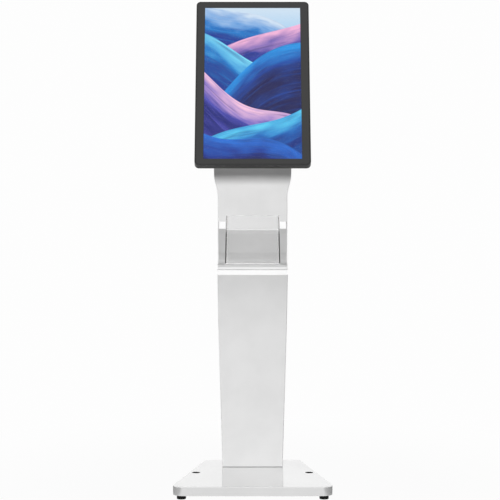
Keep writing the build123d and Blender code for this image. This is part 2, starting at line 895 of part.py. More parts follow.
with BuildPart() as gussets:
    with BuildSketch(Plane.YZ.offset(post_width / 2)):
        with BuildLine():
            Polyline(
                side_point(plate_back, -head_plate_height / 2 + 5),
                side_point(plate_back, head_plate_height / 2 - 40),
                (post_back_y - 4, post_top - 6),
                (post_back_y - 4, gusset_bottom),
                (post_front_y + 4, gusset_bottom),
                close=True,
            )
        make_face()
        with Locations((post_front_y - 8, gusset_bottom + 140)):
            Circle(14, mode=Mode.SUBTRACT)
        with Locations(*[(post_y, z) for z in gusset_bolt_heights]):
            Circle(gusset_bolt_radius + 0.2, mode=Mode.SUBTRACT)
    extrude(amount=gusset_thickness)
    mirror(about=Plane.YZ)
save(gussets, "gussets")

with BuildPart() as gusset_bolts:
    with BuildSketch(Plane.YZ.offset(post_width / 2 + gusset_thickness)):
        with Locations(*[(post_y, z) for z in gusset_bolt_heights]):
            RegularPolygon(radius=5, side_count=6, major_radius=False)
    extrude(amount=4)
    with BuildSketch(Plane.YZ.offset(post_width / 2 + gusset_thickness)):
        with Locations(*[(post_y, z) for z in gusset_bolt_heights]):
            Circle(gusset_bolt_radius)
    extrude(amount=-(gusset_thickness + post_wall + 5))
    mirror(about=Plane.YZ)
save(gusset_bolts, "gusset_bolts")

# Swivel: stator on the head, rotor on the display, a pin in a quarter-circle slot as the stop

mount_back = display_depth + mounting_plate_thickness
rotor_back = mount_back + rotor_thickness
friction_back = rotor_back + swivel_gap + friction_thickness
stator_front = friction_back + swivel_gap
washer_front = plate_back + swivel_gap
nut_front = washer_front + washer_thickness + nut_gap
hub_end = nut_front + nut_thickness + 0.5
hub_clear_radius = hub_radius + hub_running_clearance

with BuildPart() as stator:
    with BuildSketch(layer(stator_front)):
        Circle(rotor_radius)
        Circle(hub_clear_radius, mode=Mode.SUBTRACT)
    extrude(amount=-(face_back - stator_front))
    fillet(stator.edges().filter_by(GeomType.CIRCLE).sort_by(SortBy.RADIUS)[-2:], radius=stator_edge)
    with BuildSketch(layer(face_back)):
        Circle(spigot_radius)
        Circle(hub_clear_radius, mode=Mode.SUBTRACT)
    extrude(amount=-(plate_back - face_back))
    with BuildSketch(layer(face_back)):
        with PolarLocations(stator_bolt_circle, 4, start_angle=45):
            Circle(stator_bolt_radius)
    extrude(amount=stator_thread_depth + 1, mode=Mode.SUBTRACT)
    with BuildSketch(layer(stator_front)):
        with PolarLocations(stop_circle, 1, start_angle=stop_angle):
            Circle(stop_pin_radius)
    extrude(amount=-stop_pin_seat, mode=Mode.SUBTRACT)
save(stator, "swivel_stator")

with BuildPart() as stator_bolts:
    with BuildSketch(layer(plate_back)):
        with PolarLocations(stator_bolt_circle, 4, start_angle=45):
            Circle(stator_bolt_head)
            RegularPolygon(radius=stator_bolt_head / 2, side_count=6, major_radius=False, mode=Mode.SUBTRACT)
    extrude(amount=-stator_bolt_head)
    with BuildSketch(layer(plate_back)):
        with PolarLocations(stator_bolt_circle, 4, start_angle=45):
            Circle(stator_bolt_radius)
    extrude(amount=plate_back - face_back + stator_thread_depth)
save(stator_bolts, "stator_bolts")

with BuildPart() as stop_pin:
    with BuildSketch(layer(stator_front + stop_pin_seat)):
        with PolarLocations(stop_circle, 1, start_angle=stop_angle):
            Circle(stop_pin_radius)
    extrude(amount=stator_front + stop_pin_seat - mount_back - 0.8)
    chamfer(stop_pin.edges().sort_by(into_display)[0], length=0.4)
save(stop_pin, "stop_pin")

with BuildPart() as friction_disc:
    with BuildSketch(layer(rotor_back + swivel_gap)):
        Circle(stop_circle - stop_pin_radius - 2 * stop_clearance)
        Circle(hub_radius + 1.5, mode=Mode.SUBTRACT)
    extrude(amount=-friction_thickness)
save(friction_disc, "friction_disc")

with BuildPart() as rotor:
    with BuildSketch(layer(mount_back)):
        Circle(rotor_radius)
    extrude(amount=-rotor_thickness)
    fillet(rotor.edges().filter_by(GeomType.CIRCLE), radius=0.8)
    with BuildSketch(layer(rotor_back)):
        Circle(hub_radius)
    extrude(amount=-(hub_end - rotor_back))
    with BuildSketch(layer(mount_back)):
        Circle(hub_bore)
        stop_path = Edge.make_circle(stop_circle, start_angle=stop_angle - turn_range, end_angle=stop_angle)
        SlotArc(stop_path, height=2 * (stop_pin_radius + stop_clearance))
    extrude(amount=-far / 4, mode=Mode.SUBTRACT)
    with BuildSketch(layer(mount_back)):
        with PolarLocations(rotor_screw_circle, 4):
            Circle(rotor_screw_radius)
    extrude(amount=-rotor_thickness, mode=Mode.SUBTRACT)
    with BuildSketch(layer(rotor_back)):
        with PolarLocations(rotor_screw_circle, 4):
            Circle(2 * rotor_screw_radius)
    extrude(amount=rotor_screw_radius, taper=45, mode=Mode.SUBTRACT)
save(rotor, "swivel_rotor")

with BuildPart() as rotor_screws:
    with BuildSketch(layer(rotor_back)):
        with PolarLocations(rotor_screw_circle, 4):
            Circle(2 * rotor_screw_radius)
    extrude(amount=rotor_screw_radius, taper=45)
    with BuildSketch(layer(rotor_back - rotor_screw_radius)):
        with PolarLocations(rotor_screw_circle, 4):
            Circle(rotor_screw_radius)
    extrude(amount=rotor_thickness + mounting_plate_thickness - rotor_screw_radius)
    with BuildSketch(layer(rotor_back)):
        with PolarLocations(rotor_screw_circle, 4):
            RegularPolygon(radius=rotor_screw_radius * 0.6, side_count=6, major_radius=False)
    extrude(amount=rotor_screw_radius, mode=Mode.SUBTRACT)
save(rotor_screws, "rotor_screws")

with BuildPart() as thrust_washer:
    with BuildSketch(layer(washer_front)):
        Circle(spigot_radius - 1)
        Circle(hub_radius + 0.3, mode=Mode.SUBTRACT)
    extrude(amount=-washer_thickness)
save(thrust_washer, "thrust_washer")

with BuildPart() as lock_nut:
    with BuildSketch(layer(nut_front)):
        Circle(nut_radius)
        Circle(hub_radius, mode=Mode.SUBTRACT)
        with PolarLocations(nut_radius, 6):
            Rectangle(nut_notch, nut_notch, mode=Mode.SUBTRACT)
    extrude(amount=-nut_thickness)
save(lock_nut, "lock_nut")

with BuildPart() as mounting_plate:
    with BuildSketch(layer(display_depth)):
        RectangleRounded(mounting_plate_size, mounting_plate_size, 8)
        Circle(hub_bore + 5, mode=Mode.SUBTRACT)
        with GridLocations(mounting_hole_spacing, mounting_hole_spacing, 2, 2):
            Circle(mounting_screw_radius + 0.3, mode=Mode.SUBTRACT)
        with PolarLocations(rotor_screw_circle, 4):
            Circle(rotor_screw_radius, mode=Mode.SUBTRACT)
    extrude(amount=-mounting_plate_thickness)
save(mounting_plate, "mounting_plate")

# Display: front frame with a recess for the glass and a ledge behind it

frame_inner_width = display_width - 2 * rim_wall
frame_inner_height = display_height - 2 * rim_wall
frame_inner_corner = display_corner - rim_wall
ledge_front = glass_thickness + gasket_thickness
ledge_back = ledge_front + ledge_thickness
boss_x = display_width / 2 - rim_wall - boss_radius + 0.25
boss_top = display_height / 2 - 32.0
boss_heights = (-boss_top, -boss_top / 3, boss_top / 3, boss_top)
boss_places = [(side * boss_x, up) for side in (-1, 1) for up in boss_heights]
chassis_front = rim_depth - chassis_thickness
module_width = screen_width + 18.2
module_height = screen_height + 11.9
shell_screw_grip = 7.0

with BuildPart() as front_frame:
    with BuildSketch(layer(rim_depth)):
        RectangleRounded(display_width, display_height, display_corner)
    extrude(amount=rim_depth)
    fillet(front_frame.faces().sort_by(into_display)[0].edges(), radius=rim_edge)
    with BuildSketch(layer(ledge_front)):
        RectangleRounded(frame_inner_width, frame_inner_height, frame_inner_corner)
    extrude(amount=ledge_front, mode=Mode.SUBTRACT)
    with BuildSketch(layer(ledge_back)):
        RectangleRounded(screen_width + 2 * ledge_overlap, screen_height + 2 * ledge_overlap, 2)
    extrude(amount=ledge_thickness, mode=Mode.SUBTRACT)
    with BuildSketch(layer(rim_depth)):
        RectangleRounded(frame_inner_width, frame_inner_height, frame_inner_corner)
    extrude(amount=rim_depth - ledge_back, mode=Mode.SUBTRACT)
    with BuildSketch(layer(chassis_front)):
        with Locations(*boss_places):
            Circle(boss_radius + 0.3)
    extrude(amount=chassis_front - ledge_back)
    with BuildSketch(layer(chassis_front)):
        with Locations(*boss_places):
            Circle(shell_screw_radius + 0.1)
    extrude(amount=shell_screw_grip + 2, mode=Mode.SUBTRACT)
save(front_frame, "front_frame")

glass_width = frame_inner_width - 2 * glass_gap
glass_height = frame_inner_height - 2 * glass_gap

with BuildPart() as cover_glass:
    with BuildSketch(layer(glass_thickness)):
        RectangleRounded(glass_width, glass_height, frame_inner_corner - glass_gap)
    extrude(amount=glass_thickness)
    chamfer(cover_glass.faces().sort_by(into_display)[0].edges(), length=0.4)
save(cover_glass, "cover_glass")

with BuildPart() as glass_gasket:
    with BuildSketch(layer(glass_thickness)):
        RectangleRounded(glass_width - 1, glass_height - 1, frame_inner_corner - 1)
        RectangleRounded(screen_width + 10, screen_height + 10, 2, mode=Mode.SUBTRACT)
    extrude(amount=-gasket_thickness)
save(glass_gasket, "glass_gasket")

# Screen cell bonded behind the glass, its diffusers and the backlight unit

cell_width = screen_width + 2 * cell_margin
cell_height = screen_height + 2 * cell_margin
cell_front = glass_thickness + stack_gap
diffuser_front = cell_front + cell_thickness + stack_gap
backlight_front = ledge_back + 2 * stack_gap

with BuildPart() as screen_cell:
    with BuildSketch(layer(cell_front)):
        Rectangle(cell_width, cell_height)
    extrude(amount=-cell_thickness)
save(screen_cell, "screen_cell")

with BuildPart() as diffuser_stack:
    with BuildSketch(layer(diffuser_front)):
        Rectangle(cell_width, cell_height)
    extrude(amount=-diffuser_thickness)
save(diffuser_stack, "diffuser_stack")

with BuildPart() as backlight_unit:
    with BuildSketch(layer(backlight_front)):
        RectangleRounded(module_width, module_height, 4)
    extrude(amount=-(chassis_front - backlight_front - 2 * stack_gap))
    fillet(backlight_unit.faces().sort_by(into_display)[-1].edges(), radius=2)
save(backlight_unit, "backlight_unit")

# Chassis plate: carries the boards, with ears over the frame's bosses and slots to lighten it

ear_reach = 14.0
ear_places = [(side * (module_width / 2 + ear_reach / 2 - 2), up) for side in (-1, 1) for up in boss_heights]

with BuildPart() as chassis_plate:
    with BuildSketch(layer(chassis_front)):
        RectangleRounded(module_width, module_height, 4)
        with Locations(*ear_places):
            Rectangle(ear_reach, ear_reach)
        with Locations(*boss_places):
            Circle(shell_screw_radius + 0.3, mode=Mode.SUBTRACT)
        with GridLocations(1, 0.84 * module_height, 1, 2):
            SlotOverall(0.7 * module_width, 30, mode=Mode.SUBTRACT)
        with GridLocations(0.77 * module_width, 130, 2, 2):
            SlotOverall(90, 26, rotation=90, mode=Mode.SUBTRACT)
    extrude(amount=-chassis_thickness)
save(chassis_plate, "chassis_plate")

# Rear shell: a rim-to-rim plate with a raised box, air slots, speaker slots and a connector bay

box_wall = display_depth - rear_sheet
rear_face = rim_depth + rear_sheet
board_front = rim_depth + board_rise
board_back = board_front + board_thickness
bay_front = board_front - 0.5
bay_back = display_depth - 5.0

with BuildPart() as rear_shell:
    with BuildSketch(layer(rim_depth)):
        RectangleRounded(display_width, display_height, display_corner)
    extrude(amount=-rear_sheet)
    fillet(rear_shell.faces().sort_by(into_display)[-1].edges(), radius=1.5)
    with BuildSketch(layer(rear_face)):
        RectangleRounded(box_width, box_height, box_corner)
    extrude(amount=-(display_depth - rear_face))
    fillet(rear_shell.faces().sort_by(into_display)[-1].edges(), radius=box_edge)
    with BuildSketch(layer(rim_depth)):
        RectangleRounded(box_width - 2 * rear_sheet, box_height - 2 * rear_sheet, box_corner - rear_sheet)
    extrude(amount=-(box_wall - rim_depth), mode=Mode.SUBTRACT)
    with BuildSketch(layer(bay_front)):
        with Locations((0, -box_height / 2)):
            Rectangle(bay_width, 3 * rear_sheet)
    extrude(amount=-(bay_back - bay_front), mode=Mode.SUBTRACT)
    with BuildSketch(layer(display_depth)):
        with GridLocations(1, 0.7 * box_height, 1, 2):
            with GridLocations(air_slot_length + 8, 3 * air_slot_width, 5, 5):
                SlotOverall(air_slot_length, air_slot_width)
        with GridLocations(2 * speaker_x, 1, 2, 1):
            with GridLocations(6, 1, 4, 1):
                SlotOverall(2 * air_slot_length, 2.4, rotation=90)
        with GridLocations(mounting_hole_spacing, mounting_hole_spacing, 2, 2):
            Circle(mounting_screw_radius + 0.3)
    extrude(amount=2 * rear_sheet, mode=Mode.SUBTRACT)
    with BuildSketch(layer(rear_face)):
        with Locations(*boss_places):
            Circle(shell_screw_radius + 0.3)
    extrude(amount=2 * rear_sheet, mode=Mode.SUBTRACT)
save(rear_shell, "rear_shell")

shell_screw = button_screw(shell_screw_radius, 3.4, rear_face - chassis_front + shell_screw_grip)

with BuildPart(layer_from_behind(rear_face)) as rear_shell_screws:
    with Locations(*boss_places):
        add(shell_screw)
save(rear_shell_screws, "rear_shell_screws")

# Standoffs: under both boards, and four that take the mounting plate's screws

main_board_centre = (0.0, main_board_size[1] / 2 + 10.0 - box_height / 2)
boards = [(main_board_centre, main_board_size), (power_board_centre, power_board_size)]

with BuildPart() as standoffs:
    with BuildSketch(layer(rim_depth)):
        for centre, (width, height) in boards:
            with Locations(centre):
                with GridLocations(width - 2 * standoff_inset, height - 2 * standoff_inset, 2, 2):
                    Circle(standoff_radius)
    extrude(amount=-board_rise)
    with BuildSketch(layer(rim_depth)):
        with GridLocations(mounting_hole_spacing, mounting_hole_spacing, 2, 2):
            Circle(standoff_radius + 2)
            Circle(mounting_screw_radius + 0.1, mode=Mode.SUBTRACT)
    extrude(amount=-(box_wall - rim_depth))
save(standoffs, "standoffs")

mounting_screw = button_screw(mounting_screw_radius, 4.0, 16.0)

with BuildPart(layer_from_behind(mount_back)) as mounting_screws:
    with GridLocations(mounting_hole_spacing, mounting_hole_spacing, 2, 2):
        add(mounting_screw)
save(mounting_screws, "mounting_screws")

# Main board with its chips, the button's switch and a finned heat sink

chip_height = 1.4
chip_places = [(-45.0, 16.0), (-26.0, 32.0)]
memory_place = (50.0, 26.0)
switch_place = (button_x, 6.0 - main_board_size[1] / 2)
switch_height = 10.0

with BuildPart() as main_board:
    with BuildSketch(layer(board_front)):
        with Locations(main_board_centre):
            RectangleRounded(*main_board_size, 3)
    extrude(amount=-board_thickness)
    with BuildSketch(layer(board_back)):
        with Locations(main_board_centre):
            with Locations(*chip_places):
                Rectangle(14, 14)
            with Locations(memory_place):
                Rectangle(22, 34)
    extrude(amount=-chip_height)
    with BuildSketch(layer(board_back)):
        with Locations(main_board_centre):
            with Locations(switch_place):
                Rectangle(9, 10)
    extrude(amount=-switch_height)
save(main_board, "main_board")

with BuildPart() as heat_sink:
    with BuildSketch(layer(board_back)):
        with Locations(main_board_centre):
            with Locations(sink_place):
                Rectangle(sink_width, sink_height)
    extrude(amount=-sink_base)
    with BuildSketch(layer(board_back + sink_base)):
        with Locations(main_board_centre):
            with Locations(sink_place):
                with GridLocations(sink_width / 8, 1, 8, 1):
                    Rectangle(fin_thickness, sink_height)
    extrude(amount=-fin_height)
save(heat_sink, "heat_sink")

# Connectors with open mouths, seen from below: local X across, local Y back from the board

port_end = box_height / 2 - 1.0
port_plane = Plane(
    origin=layer(board_back).from_local_coords((0, -port_end, 0)),
    x_dir=(1, 0, 0),
    z_dir=layer(0).y_dir,
)
usb_places = [(-10.0, 3.5), (8.0, 3.5)]
lan_place = (-30.0, 6.5)
video_place = (28.0, 3.0)
power_place = (-48.0, 5.0)

with BuildPart() as connector_block:
    with BuildSketch(port_plane):
        with Locations(*usb_places):
            RectangleRounded(14, 7, 0.8)
        with Locations(lan_place):
            Rectangle(16, 13)
        with Locations(video_place):
            RectangleRounded(15, 6, 1)
        with Locations(power_place):
            Rectangle(10, 10)
    extrude(amount=port_depth)
    with BuildSketch(port_plane):
        with Locations(*usb_places):
            Rectangle(12.4, 5.4)
            with Locations((0, 0.9)):
                Rectangle(11, 1.8, mode=Mode.SUBTRACT)
        with Locations(lan_place):
            Rectangle(12, 8)
            with Locations((0, 4.6)):
                Rectangle(6, 2)
        with Locations(video_place):
            Trapezoid(13.6, 4.4, 60, rotation=180)
            Rectangle(9, 1.2, mode=Mode.SUBTRACT)
        with Locations(power_place):
            Circle(3.2)
            Circle(1, mode=Mode.SUBTRACT)
    extrude(amount=port_mouth, mode=Mode.SUBTRACT)
save(connector_block, "connector_block")

with BuildPart() as power_board:
    with BuildSketch(layer(board_front)):
        with Locations(power_board_centre):
            RectangleRounded(*power_board_size, 3)
    extrude(amount=-board_thickness)
    with BuildSketch(layer(board_back)):
        with Locations(power_board_centre):
            with Locations((-30, 0)):
                Rectangle(34, 30)
    extrude(amount=-13)
    with BuildSketch(layer(board_back)):
        with Locations(power_board_centre):
            with Locations((20, 18), (42, 18)):
                Circle(8)
            with Locations((50, -20)):
                Circle(6)
    extrude(amount=-12)
save(power_board, "power_board")

# Connector bracket behind the bay, and the power button that slides in it

bracket_face = port_plane.offset(port_end - box_height / 2 + rear_sheet)
bracket_depth = box_wall - rear_face
bracket_middle = (rear_face + box_wall) / 2 - board_back
button_place = (button_x, button_rise)
port_gap = 0.3

with BuildPart() as connector_bracket:
    with BuildSketch(bracket_face):
        with Locations((0, bracket_middle)):
            Rectangle(bay_width + 12, bracket_depth)
        with Locations(*usb_places):
            Rectangle(14 + 2 * port_gap, 7 + 2 * port_gap, mode=Mode.SUBTRACT)
        with Locations(lan_place):
            Rectangle(16 + 2 * port_gap, 13 + 2 * port_gap, mode=Mode.SUBTRACT)
        with Locations(video_place):
            Rectangle(15 + 2 * port_gap, 6 + 2 * port_gap, mode=Mode.SUBTRACT)
        with Locations(power_place):
            Rectangle(10 + 2 * port_gap, 10 + 2 * port_gap, mode=Mode.SUBTRACT)
        with Locations(button_place):
            Circle(button_radius + 0.3, mode=Mode.SUBTRACT)
    extrude(amount=bracket_thickness)
save(connector_bracket, "connector_bracket")

flange_start = bracket_thickness + 0.3

with BuildPart() as power_button:
    with BuildSketch(bracket_face.offset(-button_reach)):
        with Locations(button_place):
            Circle(button_radius)
    extrude(amount=button_reach + flange_start + 3.1)
    fillet(power_button.edges().sort_by(up_display)[0], radius=0.8)
    with BuildSketch(bracket_face.offset(flange_start)):
        with Locations(button_place):
            Circle(button_radius + 1.5)
    extrude(amount=1.2)
save(power_button, "power_button")

# Speakers, fixed to the rear wall behind their slots

with BuildPart() as speakers:
    with BuildSketch(layer(box_wall)):
        with GridLocations(2 * speaker_x, 1, 2, 1):
            RectangleRounded(speaker_width, speaker_length, 8)
    extrude(amount=speaker_depth)
    with BuildSketch(layer(box_wall - speaker_depth)):
        with GridLocations(2 * speaker_x, 1, 2, 1):
            RectangleRounded(speaker_width - 10, speaker_length / 2, 6)
    extrude(amount=5)
save(speakers, "speakers")
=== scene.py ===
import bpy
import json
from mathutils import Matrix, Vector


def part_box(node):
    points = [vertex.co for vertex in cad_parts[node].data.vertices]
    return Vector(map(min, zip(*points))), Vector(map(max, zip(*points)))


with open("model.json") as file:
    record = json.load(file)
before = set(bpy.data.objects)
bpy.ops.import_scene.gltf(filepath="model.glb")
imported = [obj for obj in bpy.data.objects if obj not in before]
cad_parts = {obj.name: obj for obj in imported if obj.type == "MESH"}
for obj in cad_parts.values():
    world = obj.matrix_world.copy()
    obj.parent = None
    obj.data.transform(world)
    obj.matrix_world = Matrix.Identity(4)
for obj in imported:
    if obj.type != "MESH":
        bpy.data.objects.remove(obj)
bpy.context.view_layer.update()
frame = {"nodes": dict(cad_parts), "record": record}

import json
from math import pi, radians

import bpy
from mathutils import Vector

# A floor stand with a turning display, in metres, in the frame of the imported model.

# The display's middle and lean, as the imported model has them, and half of its lit screen
turn_joint = next(
    joint for joint in frame["record"]["behaviour"]["joints"] if joint["type"] == "hinge"
)
display_middle = turn_joint["pos_m"]
lean_sin, lean_cos = turn_joint["axis"][2], -turn_joint["axis"][1]
screen_half_width = 0.1339
screen_half_height = 0.23805

# Column: where it stands on the base, how high the painted contact shade at its joint reaches,
# and the heights between which its nosing, painted with a highlight, lies
column_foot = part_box("column_shell")[0][2]
joint_shade_height = 0.0014
nosing_bottom = 0.5
nosing_top = 0.6035

# Tray: its front lip's back and middle, where the bend behind its floor ends, and the height above
# which the scoop's sides are shaded
lip_back = 0.047
lip_middle = 0.6105
bend_top = 0.65
shade_bottom = 0.703

# Leaflet pocket: its front view, how much each side leans in with each metre of height, its sheet,
# how far back its front sheet reaches, and how deep its painted top and foot edge highlights are
pocket_low, pocket_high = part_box("leaflet_pocket")
pocket_bottom, pocket_back_top = pocket_low[2], pocket_high[2]
pocket_half_width = pocket_high[0]
pocket_front_top = 0.716
pocket_taper = 0.0222
acrylic = 0.0031
front_sheet_back = 0.064
front_rim_depth = 0.0020
back_rim_depth = 0.0018
foot_rim_depth = 0.0022

# The photograph's camera
photo_width = 500
focal_pixels = 1678.4
sensor_width = 36.0
camera_place = (-0.0074, -4.6448, 0.9249)
camera_dip = 3.25

# Floor: half its side, how white it is under the stand to the camera and in reflections, the
# distances over which it turns fully white, and how far to each side reflections show it darker
floor_half = 60.0
near_white, near_white_mirrored = 0.975, 0.78
white_from, white_mirrored_from = (0.3, 1.2), (0.45, 0.9)
dark_half_width, dark_fade = 0.21, 0.09

# How brightly the surroundings light a surface, and how white they look
ambient_strength = 0.03
white_strength = 0.985


def light(level):
    """The linear value of a tone from 0 to 255."""
    share = level / 255
    if share <= 0.04045:
        return share / 12.92
    return ((share + 0.055) / 1.055) ** 2.4


def shade(red, green, blue):
    """A colour from three tones from 0 to 255."""
    return (light(red), light(green), light(blue), 1.0)


def grey(level):
    """A neutral colour from one tone from 0 to 255."""
    return shade(level, level, level)


# Shader arithmetic


class Signal:
    """A shader socket that Python's operators work on; each adds a Math node."""

    def __init__(self, network, socket):
        self.network = network
        self.socket = socket

    def maths(self, operation, *values, clamp=False):
        settings = {"operation": operation, "use_clamp": clamp}
        return self.network.node("ShaderNodeMath", settings, dict(enumerate(values)))

    def __add__(self, other):
        return self.maths("ADD", self, other)

    def __radd__(self, other):
        return self.maths("ADD", other, self)

    def __sub__(self, other):
        return self.maths("SUBTRACT", self, other)

    def __rsub__(self, other):
        return self.maths("SUBTRACT", other, self)

    def __mul__(self, other):
        return self.maths("MULTIPLY", self, other)

    def __rmul__(self, other):
        return self.maths("MULTIPLY", other, self)

    def __truediv__(self, other):
        return self.maths("DIVIDE", self, other)

    def __pow__(self, other):
        return self.maths("POWER", self, other)

    def __neg__(self):
        return self.maths("MULTIPLY", self, -1.0)

    def __abs__(self):
        return self.maths("ABSOLUTE", self)

    def wave(self):
        return self.maths("SINE", self)

    def clamped(self):
        return self.maths("ADD", self, 0.0, clamp=True)

    def at_most(self, other):
        return self.maths("MINIMUM", self, other)

    def at_least(self, other):
        return self.maths("MAXIMUM", self, other)

    def ramp(self, low, high):
        """0 below low, 1 above high, smooth in between."""
        settings = {"interpolation_type": "SMOOTHSTEP"}
        sockets = {"Value": self, "From Min": low, "From Max": high}
        return self.network.node("ShaderNodeMapRange", settings, sockets)

    def within(self, reach, fade):
        """1 up to a reach, 0 from a fade beyond it, smooth in between."""
        return 1 - self.ramp(reach, reach + fade)


class Network:
    """A node tree that signals run through."""

    def __init__(self, tree):
        self.nodes = tree.nodes
        self.links = tree.links

    def put(self, socket, value):
        if isinstance(value, Signal):
            self.links.new(value.socket, socket)
        else:
            socket.default_value = value

    def node(self, kind, settings=None, sockets=None, out=0):
        made = self.nodes.new(kind)
        for key, value in (settings or {}).items():
            setattr(made, key, value)
        for key, value in (sockets or {}).items():
            self.put(made.inputs[key], value)
        return Signal(self, made.outputs[out])

    def ray(self, kind):
        """1 on rays of a kind, 0 on others."""
        return self.node("ShaderNodeLightPath", out=kind)


class Finish(Network):
    """A node material round a Principled shader, with fixed values on the shader itself."""

    def __init__(self, name, **constants):
        self.material = bpy.data.materials.new(name)
        self.material.use_nodes = True
        super().__init__(self.material.node_tree)
        self.shader = self.nodes["Principled BSDF"]
        for words, value in constants.items():
            self.set(words.replace("_", " ").title().replace("Ior", "IOR"), value)

    def set(self, socket, value):
        self.put(self.shader.inputs[socket], value)
        return self

    def place(self):
        """Coordinates that ride with the piece, in metres in the model's frame."""
        return self.node("ShaderNodeTexCoord", out="Object")

    def split(self, vector):
        """The X, Y and Z of a vector."""
        parts = self.node("ShaderNodeSeparateXYZ", sockets={"Vector": vector}).socket.node
        return [Signal(self, output) for output in parts.outputs]

    def axes(self):
        return self.split(self.place())

    def facing(self):
        """Which way the surface faces, in the model's frame."""
        return self.split(self.node("ShaderNodeTexCoord", out="Normal"))

    def on_display(self):
        """How far a point lies across and up the display's face, from its middle."""
        x, y, z = self.axes()
        up = (y - display_middle[1]) * lean_sin + (z - display_middle[2]) * lean_cos
        return x, up

    def noise(self, size, detail=2.0, stretch=(1, 1, 1)):
        """Noise from 0 to 1 with features about so large, in metres."""
        squeezed = self.node(
            "ShaderNodeVectorMath", {"operation": "MULTIPLY"}, {0: self.place(), 1: stretch}
        )
        return self.texture(squeezed, detail, scale=1 / size)

    def texture(self, vector, detail, scale=1.0):
        """Noise from 0 to 1 at a vector."""
        sockets = {"Vector": vector, "Scale": scale, "Detail": detail, "Roughness": 0.5}
        return self.node("ShaderNodeTexNoise", sockets=sockets)

    def mix(self, factor, low, high):
        """One colour turning into another as the factor goes from 0 to 1."""
        sockets = {0: factor, 6: low, 7: high}
        return self.node("ShaderNodeMix", {"data_type": "RGBA"}, sockets, out=2)

    def bump(self, height, depth):
        """Relief from a height signal from 0 to 1, so deep in metres."""
        sockets = {"Height": height, "Distance": depth, "Strength": 1.0}
        return self.set("Normal", self.node("ShaderNodeBump", sockets=sockets))


# Finishes


def coat(name, tone, roughness, peel_depth, toning=None, **constants):
    """Coat on folded sheet: even white with an orange peel, faint clouds and fine specks."""
    finish = Finish(name, **constants)
    peel = finish.noise(size=0.0011, detail=3.0)
    cloud = finish.noise(size=0.09, detail=3.0)
    speck = finish.noise(size=0.00035, detail=1.0).ramp(0.68, 0.80)
    colour = finish.mix(cloud.ramp(0.3, 0.7), grey(tone - 3), grey(tone + 2))
    # A piece's painted highlights and painted shade, where it has them, go into the colour here
    if toning:
        colour = toning(finish, colour)
    finish.set("Base Color", finish.mix(speck * 0.25, colour, grey(tone - 24)))
    finish.set("Roughness", roughness + 0.08 * (cloud - 0.5) + 0.06 * (peel - 0.5))
    finish.bump(peel, peel_depth)
    return finish.material


def column_painted_light(finish, colour):
    """A painted highlight on the nosing, and a dark joint line at the base: seam and painted
    contact shade.
    """
    # The tones of the painted highlight and the painted contact shade
    pale, dark = grey(254), grey(96)
    height = finish.axes()[2]
    up = finish.facing()[2]
    # Painted contact shade: a dark band just above the column's foot, where it meets the base
    above_foot = height - column_foot
    joint = above_foot.ramp(0.0001, 0.0005) * above_foot.within(joint_shade_height, fade=0.001)
    # Painted highlight: the nosing's upward-leaning face is paled almost to white, as if lit from
    # above
    leaning = up.ramp(0.35, 0.5)
    below_top = (height - nosing_top).within(0.0, fade=0.001)
    nosing = leaning * below_top * (height - nosing_bottom).ramp(0.0, 0.05)
    colour = finish.mix(nosing, colour, pale)
    return finish.mix(joint * 0.7, colour, dark)


def tray_painted_light(finish, colour):
    """A painted highlight on the front lip, and painted shade on the floor, bend and sides of the
    scoop.
    """
    # The tones of the painted highlight and the painted shade
    pale, dark = grey(254), grey(140)
    x, y, height = finish.axes()
    up = finish.facing()[2]
    behind_lip = (y - lip_back).ramp(0.0, 0.001)
    # Painted highlight on the lower front of the lip
    lip_highlight = (1 - behind_lip) * (height - lip_middle).within(-0.001, fade=0.003)
    # Painted shade on level faces of the lip and floor
    level = up.ramp(0.96, 0.99)
    # Painted shade on the scoop's sides beside the pocket, deeper just under their top edge
    beside_pocket = (abs(x) - pocket_half_width).ramp(-0.003, 0.003)
    under_edge_shade = (height - shade_bottom).ramp(-0.004, 0.002)
    # Painted shade on the bend behind the floor
    turning_up = up.ramp(-0.45, -0.1) * up.within(0.35, fade=0.4)
    bend = turning_up * (height - bend_top).within(0.0, fade=0.01)
    colour = finish.mix(lip_highlight * 0.75, colour, pale)
    colour = finish.mix(level * 0.16, colour, dark)
    colour = finish.mix(behind_lip * beside_pocket * (0.08 + 0.14 * under_edge_shade), colour, dark)
    return finish.mix(behind_lip * bend * 0.3, colour, dark)


def white_powder_coat():
    return coat(
        "white_powder_coat", tone=232, roughness=0.42, peel_depth=0.00003, toning=column_painted_light
    )


# The white powder coat in a darker tone: painted shade for the tray's recess
def shaded_tray_coat():
    return coat("shaded_tray_coat", tone=206, roughness=0.45, peel_depth=0.00003, toning=tray_painted_light)


def white_gloss_coat():
    return coat(
        "white_gloss_coat", tone=233, roughness=0.12, peel_depth=0.000003,
        metallic=0.5, coat_weight=1.0, coat_roughness=0.03,
    )


def black_coated_steel():
    """Fine textured black powder coat."""
    finish = Finish("black_coated_steel", specular_ior_level=0.45)
    grain = finish.noise(size=0.0006, detail=3.0)
    rubbed = finish.noise(size=0.05, detail=4.0)
    finish.set("Base Color", finish.mix(rubbed, grey(30), grey(38)))
    finish.set("Roughness", 0.42 + 0.12 * rubbed)
    finish.bump(grain, depth=0.00003)
    return finish.material


